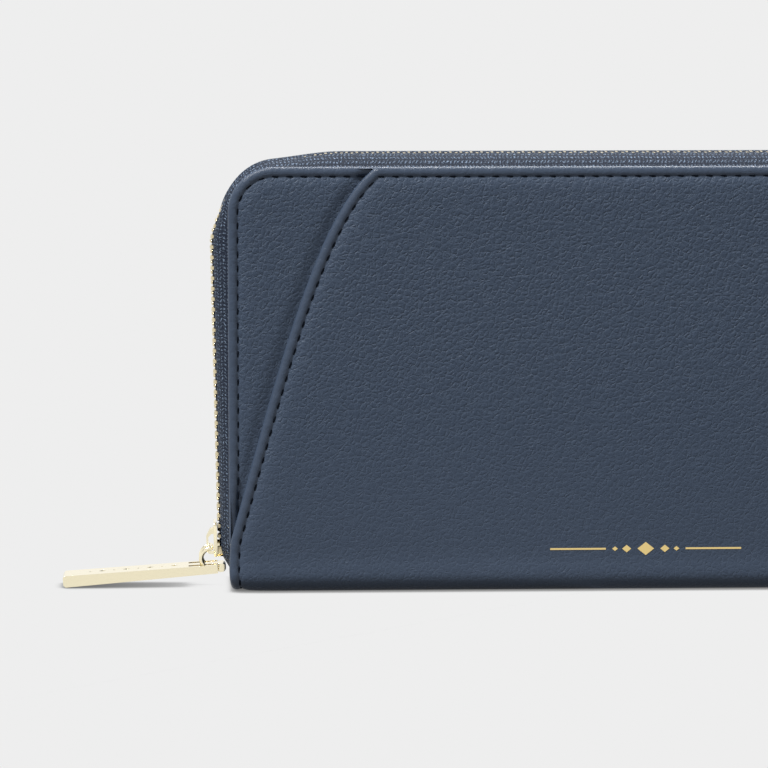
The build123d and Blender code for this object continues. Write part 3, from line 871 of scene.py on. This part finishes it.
class Nodes:
    """A small helper for building a node tree."""

    def __init__(self, tree):
        self.tree = tree

    def add(self, kind, **settings):
        node = self.tree.nodes.new("ShaderNode" + kind)
        for key, value in settings.items():
            setattr(node, key, value)
        return node

    def link(self, source, target):
        self.tree.links.new(source, target)

    def feed(self, value, socket):
        """Puts a plain value into a socket, or links it to another node's output."""
        if isinstance(value, (int, float, tuple)):
            socket.default_value = value
        else:
            self.link(value, socket)

    def math(self, operation, a, b=0.0, clamp=False):
        node = self.add("Math", operation=operation, use_clamp=clamp)
        self.feed(a, node.inputs[0])
        self.feed(b, node.inputs[1])
        return node.outputs[0]

    def ramp(self, value, stops):
        """A colour ramp. A stop is its place and a colour, or a number for a grey."""
        node = self.add("ValToRGB")
        while len(node.color_ramp.elements) < len(stops):
            node.color_ramp.elements.new(0.5)
        for element, (place, shade) in zip(node.color_ramp.elements, stops):
            element.position = place
            element.color = shade if isinstance(shade, tuple) else (shade, shade, shade, 1)
        self.link(value, node.inputs[0])
        return node.outputs[0]

    def mix(self, share, a, b):
        node = self.add("Mix", data_type="RGBA")
        for value, socket in ((share, node.inputs[0]), (a, node.inputs[6]), (b, node.inputs[7])):
            self.feed(value, socket)
        return node.outputs[2]

    def noise(self, scale, detail=2.0, place=None):
        """A noise texture, on the object's own coordinates unless a place is given."""
        node = self.add("TexNoise")
        node.inputs["Scale"].default_value = scale
        node.inputs["Detail"].default_value = detail
        if place is not None:
            self.link(place, node.inputs["Vector"])
        return node

    def cells(self, scale, place):
        """How far it is to the border of the cell round a place."""
        node = self.add("TexVoronoi", feature="DISTANCE_TO_EDGE")
        node.inputs["Scale"].default_value = scale
        self.link(place, node.inputs["Vector"])
        return node.outputs["Distance"]

    def openness(self, distance, samples):
        """1 in the open, and less where something is within a distance in millimetres."""
        node = self.add("AmbientOcclusion", samples=samples)
        node.inputs["Distance"].default_value = distance * MM
        return node.outputs["AO"]


class MaterialNodes(Nodes):
    """The node tree of a new material and its shader."""

    def __init__(self, name):
        self.material = bpy.data.materials.new(name)
        self.material.use_nodes = True
        super().__init__(self.material.node_tree)
        self.shader = self.tree.nodes["Principled BSDF"]

    def set(self, **values):
        """Sets the shader's inputs: plain values or other nodes' outputs."""
        for key, value in values.items():
            self.feed(value, self.shader.inputs[key.replace("_", " ")])

    def bump(self, height, strength, distance):
        node = self.add("Bump")
        node.inputs["Strength"].default_value = strength
        node.inputs["Distance"].default_value = distance * MM
        self.link(height, node.inputs["Height"])
        self.set(Normal=node.outputs[0])

    def flat_place(self):
        """The place on the sheet as it lies flat, in millimetres."""
        return self.add("UVMap", uv_map="Flat").outputs[0]

    def flat_parts(self, place):
        """The two coordinates of a flat place."""
        parts = self.add("SeparateXYZ")
        self.link(place, parts.inputs[0])
        return parts.outputs[0], parts.outputs[1]


def leather_material(name, base, light, grain=1.0):
    """Pebbled leather: cells of two sizes with valleys, and pores. The valleys' lighter colour is a painted
    highlight standing in for light caught along the grain. The mesh's relief value fades the valleys out
    where the leather is stretched, and makes it smoother there."""
    n = MaterialNodes(name)
    place = n.flat_place()
    shift = n.add("VectorMath", operation="SCALE")
    shift.inputs["Scale"].default_value = 1.3
    n.link(n.noise(0.8, 3.0, place).outputs["Color"], shift.inputs[0])
    warp = n.add("VectorMath", operation="ADD")
    n.link(place, warp.inputs[0])
    n.link(shift.outputs[0], warp.inputs[1])
    moved = warp.outputs[0]
    uneven = n.ramp(n.noise(0.45, 2.0, place).outputs["Fac"], [(0.32, 0.35), (0.66, 1.0)])
    big = n.ramp(n.cells(0.78, moved), [(0.0, 1.0), (0.06, 0.72), (0.2, 0.2), (0.38, 0.0)])
    small = n.ramp(n.cells(1.6, moved), [(0.0, 1.0), (0.26, 0.0)])
    valley = n.math("ADD", n.math("MULTIPLY", big, uneven), n.math("MULTIPLY", small, 0.22))
    relief = n.add("Attribute", attribute_name="relief").outputs["Fac"]
    strength = n.math("MULTIPLY", valley, relief)
    pores = n.math("MULTIPLY", n.noise(3.5, 4.0, place).outputs["Fac"], 0.3)
    n.bump(n.math("SUBTRACT", pores, strength), 0.9 * grain, 0.15)
    # The light colour mixed into the valleys is a painted highlight, as strong as the grain there.
    n.set(Base_Color=n.mix(n.math("MULTIPLY", strength, 0.22 * grain, True), base, light),
          Roughness=n.ramp(relief, [(0.12, 0.33), (0.8, 0.5)]),
          Specular_IOR_Level=n.ramp(relief, [(0.12, 0.32), (0.8, 0.21)]))
    return n.material


def cloth_material(name, dark, light, period, contrast):
    """Woven cloth: slanted ribs with a little unevenness. period is the width of a rib."""
    n = MaterialNodes(name)
    place = n.flat_place()
    u, v = n.flat_parts(place)
    wave = n.math("SINE", n.math("MULTIPLY", n.math("ADD", u, v), 2 * math.pi / period))
    cross = n.math("SINE", n.math("MULTIPLY", n.math("SUBTRACT", u, v), 2 * math.pi / (period * 1.31)))
    noise = n.noise(1.6 / period, 2.0, place).outputs["Fac"]
    rough = n.math("MULTIPLY", n.math("SUBTRACT", noise, 0.5), 3.0)
    ribs = n.math("ADD", n.math("MULTIPLY", n.math("ADD", wave, n.math("MULTIPLY", cross, 0.6)), 0.3), rough)
    share = n.math("ADD", n.math("MULTIPLY", ribs, contrast), 0.45, True)
    n.bump(ribs, 0.8, 0.10)
    n.set(Base_Color=n.mix(share, dark, light), Roughness=0.75, Specular_IOR_Level=0.25)
    return n.material


def tape_material(name, dark, light):
    """Knitted zip tape: rows of short slanted loops, leaning one way and then the other."""
    n = MaterialNodes(name)
    place = n.flat_place()
    u, v = n.flat_parts(place)
    row = n.math("DIVIDE", v, TAPE_ROW)
    zigzag = n.math("MULTIPLY", n.math("PINGPONG", row, 1.0), 0.55)
    wander = n.math("MULTIPLY", n.noise(0.9, 2.0, place).outputs["Fac"], 1.6)
    wave = n.math("SINE", n.math("MULTIPLY", n.math("ADD", n.math("ADD", u, zigzag), wander), TAPE_TURNS))
    envelope = n.math("ABSOLUTE", n.math("SINE", n.math("MULTIPLY", row, math.pi)))
    loops = n.math("MULTIPLY", n.math("ADD", n.math("MULTIPLY", wave, 0.5), 0.5), envelope)
    worn = n.ramp(n.noise(2.2, 1.0, place).outputs["Fac"], [(0.36, 0.15), (0.62, 1.0)])
    ribs = n.math("MULTIPLY", loops, worn)
    share = n.math("POWER", ribs, 1.7, True)
    n.bump(ribs, 0.9, 0.18)
    n.set(Base_Color=n.mix(share, dark, light), Roughness=0.65, Specular_IOR_Level=0.18)
    return n.material


def tooth_material(name, shade, shadow):
    """Zip metal with painted shade: its colour darkens to brown in the recesses between teeth and tape."""
    n = MaterialNodes(name)
    # Painted shade: the colour turns to the shadow colour where the metal is hemmed in.
    recess_shade = n.ramp(n.openness(1.6, 6), [(0.3, shadow), (0.72, shade)])
    n.set(Base_Color=recess_shade, Roughness=0.24, Metallic=1.0)
    return n.material


def metal_material(name, shade, roughness):
    """Smooth metal with faintly uneven polish."""
    n = MaterialNodes(name)
    uneven = n.math("MULTIPLY", n.noise(900.0).outputs["Fac"], 0.02)
    n.set(Base_Color=shade, Roughness=n.math("ADD", uneven, roughness), Metallic=1.0)
    return n.material


def plain_material(name, shade, roughness, shine=0.5):
    """One colour, mottled a little darker."""
    n = MaterialNodes(name)
    dark = tuple(c * 0.7 for c in shade[:3]) + (1,)
    mottled = n.mix(n.noise(2500.0).outputs["Fac"], dark, shade)
    n.set(Base_Color=mottled, Roughness=roughness, Specular_IOR_Level=shine)
    return n.material


# ---------------------------------------------------------------- stage

GROUND = colour(238, 238, 238)

# How much of its glow the floor sends back up onto dull surfaces
FLOOR_BOUNCE = 0.15


def build_world():
    """Soft light, strongest from above. Reflections see a brighter room, and the camera the ground colour."""
    world = bpy.data.worlds.new("Studio")
    bpy.context.scene.world = world
    world.use_nodes = True
    n = Nodes(world.node_tree)
    n.tree.nodes.clear()
    direction = n.add("SeparateXYZ")
    n.link(n.add("TexCoord").outputs["Generated"], direction.inputs[0])
    upward = n.add("MapRange")
    upward.inputs["From Min"].default_value = -1
    n.link(direction.outputs[2], upward.inputs[0])

    def background(shade):
        node = n.add("Background")
        n.feed(shade, node.inputs[0])
        return node.outputs[0]

    def either(share, first, second):
        node = n.add("MixShader")
        for source, socket in zip((share, first, second), node.inputs):
            n.link(source, socket)
        return node.outputs[0]

    height = upward.outputs[0]
    sky = n.ramp(height, [(0.0, 0.0), (0.45, 0.04), (0.5, 0.17), (0.8, 0.34), (1.0, 0.42)])
    room = n.ramp(height, [(0.0, 0.8), (0.45, 0.92), (0.55, 1.0), (0.68, 0.9), (0.85, 0.42), (1.0, 0.45)])
    ray = n.add("LightPath").outputs
    light = either(ray["Is Glossy Ray"], background(sky), background(room))
    n.link(either(ray["Is Camera Ray"], light, background(GROUND)), n.add("OutputWorld").inputs[0])


def build_sun(name, azimuth, elevation, strength, spread):
    """A sun seen at an azimuth (0 in front, counted towards the right) and an elevation, in degrees."""
    lamp = bpy.data.lights.new(name, "SUN")
    lamp.energy = strength
    lamp.angle = math.radians(spread)
    sun = bpy.data.objects.new(name, lamp)
    a, e = math.radians(azimuth), math.radians(elevation)
    back = Vector((math.sin(a) * math.cos(e), -math.cos(a) * math.cos(e), math.sin(e)))
    sun.rotation_mode = "QUATERNION"
    sun.rotation_quaternion = back.to_track_quat("Z", "Y")
    bpy.context.scene.collection.objects.link(sun)


def floor_material():
    """An even glow with a painted contact shadow: it darkens only close to what stands on it. It lights dull
    surfaces only a little, and the same painted shadow dims that light near the contact.
    """
    n = MaterialNodes("floor")
    # Painted contact shadow: the glow's colour darkens where something stands within a few millimetres.
    level = n.ramp(n.openness(3.6, 16), [(0.0, 0.18), (0.5, 0.5), (0.73, 0.9), (0.88, 1.0)])
    dull = n.add("LightPath").outputs["Is Diffuse Ray"]
    glow = n.add("Emission")
    n.link(n.mix(level, (0, 0, 0, 1), GROUND), glow.inputs["Color"])
    n.link(n.math("SUBTRACT", 1.0, n.math("MULTIPLY", dull, 1.0 - FLOOR_BOUNCE)), glow.inputs["Strength"])
    n.link(glow.outputs[0], n.tree.nodes["Material Output"].inputs["Surface"])
    return n.material


def build_floor():
    """A wide square floor at the wallet's foot."""
    data = bpy.data.meshes.new("floor")
    r = 30.0
    data.from_pydata([(-r, -r, 0), (r, -r, 0), (r, r, 0), (-r, r, 0)], [], [(0, 1, 2, 3)])
    data.materials.append(floor_material())
    floor = bpy.data.objects.new("floor", data)
    bpy.context.scene.collection.objects.link(floor)


# The camera, and how much of the scene's width it sees at the wallet's face
CAMERA_PLACE = (-105.0, -1062.5, 174.7)
CAMERA_TARGET = (-62.9, -12.5, 50.2)
VIEW_WIDTH = 183.2


def build_camera():
    data = bpy.data.cameras.new("camera")
    place, target = Vector(CAMERA_PLACE), Vector(CAMERA_TARGET)
    data.sensor_width = 36.0
    data.lens = 36.0 * (place - target).length / VIEW_WIDTH
    data.clip_start = 0.1
    data.clip_end = 60.0
    camera = bpy.data.objects.new("camera", data)
    bpy.context.scene.collection.objects.link(camera)
    camera.rotation_mode = "QUATERNION"
    camera.location = place * MM
    camera.rotation_quaternion = (target - place).to_track_quat("-Z", "Y")
    bpy.context.scene.camera = camera


# ---------------------------------------------------------------- the whole scene

# In both leathers the second colour is the painted highlight along the grain's valleys.
leather = leather_material("navy_leather", colour(61, 73, 91), colour(103, 117, 136))
smooth_leather = leather_material("navy_smooth_leather", colour(48, 55, 70), colour(70, 80, 96), 0.6)
lining = cloth_material("navy_lining", colour(42, 50, 66), colour(74, 86, 106), 0.7, 0.35)
tape = tape_material("zip_tape", colour(17, 27, 43), colour(134, 152, 176))
# The thread's near-black colour is partly its own dark navy and partly painted shade of the stitch holes.
thread = plain_material("thread", colour(6, 12, 22), 0.9, 0.1)
nylon = plain_material("nylon", colour(30, 36, 50), 0.4)
gold = metal_material("pale_gold", colour(251, 241, 209), 0.16)
# The zip metal's second colour is the painted shade in its recesses.
tooth_gold = tooth_material("zip_gold", colour(234, 220, 182), colour(78, 66, 48))
foil = metal_material("foil", colour(232, 206, 140), 0.28)

build_main_skin()
build_corner_skin()
build_back_skin()
build_stitching()
build_tape(-1, "front_zip_tape_cloth")
build_tape(1, "back_zip_tape_cloth")
build_teeth(-1, "front_cover", "front_zip_teeth", 0.0)
build_teeth(1, "back_cover", "back_zip_teeth", TOOTH_PITCH / 2)
build_ornament()
lining_sheet(-1, "front_cover", "front_lining_cloth", ("front_lining", "spine_lining"))
lining_sheet(1, "back_cover", "back_lining_cloth", ("back_lining",))
slip_row = ("slip_pocket", 88.0, lining, "navy_lining")
front_tops = {"card_panel_1": 75.0, "card_panel_2": 63.0, "card_panel_3": 51.0, "card_panel_4": 39.0}
back_tops = {"phone_pocket": 72.0, "card_panel_1": 56.0, "card_panel_2": 44.0}
build_cover_pockets(-1, "front_cover", "front", [slip_row] + leather_rows(front_tops))
build_cover_pockets(1, "back_cover", "back", [slip_row] + leather_rows(back_tops))
build_coin_pocket()
build_gusset(-1, -1, "left_front_gusset")
build_gusset(-1, 1, "right_front_gusset")
build_gusset(1, -1, "left_back_gusset")
build_gusset(1, 1, "right_back_gusset")
for node in ("main_slider_body", "coin_slider_body"):
    polish(node, gold, 0.12)
polish("puller_link", gold, 0)
polish("puller_bar", gold, 0.18)
polish("coin_puller_tab", gold, 0.1)
for node in ("front_zip_stop", "back_zip_stop", "zip_end_box", "coin_zip_stop"):
    polish(node, tooth_gold, 0.2)

build_world()
build_sun("key", -55, 58, 4.3, 16)
build_sun("rear", 165, 62, 2.4, 20)
build_floor()
build_camera()
bpy.context.scene.view_settings.view_transform = "Standard"
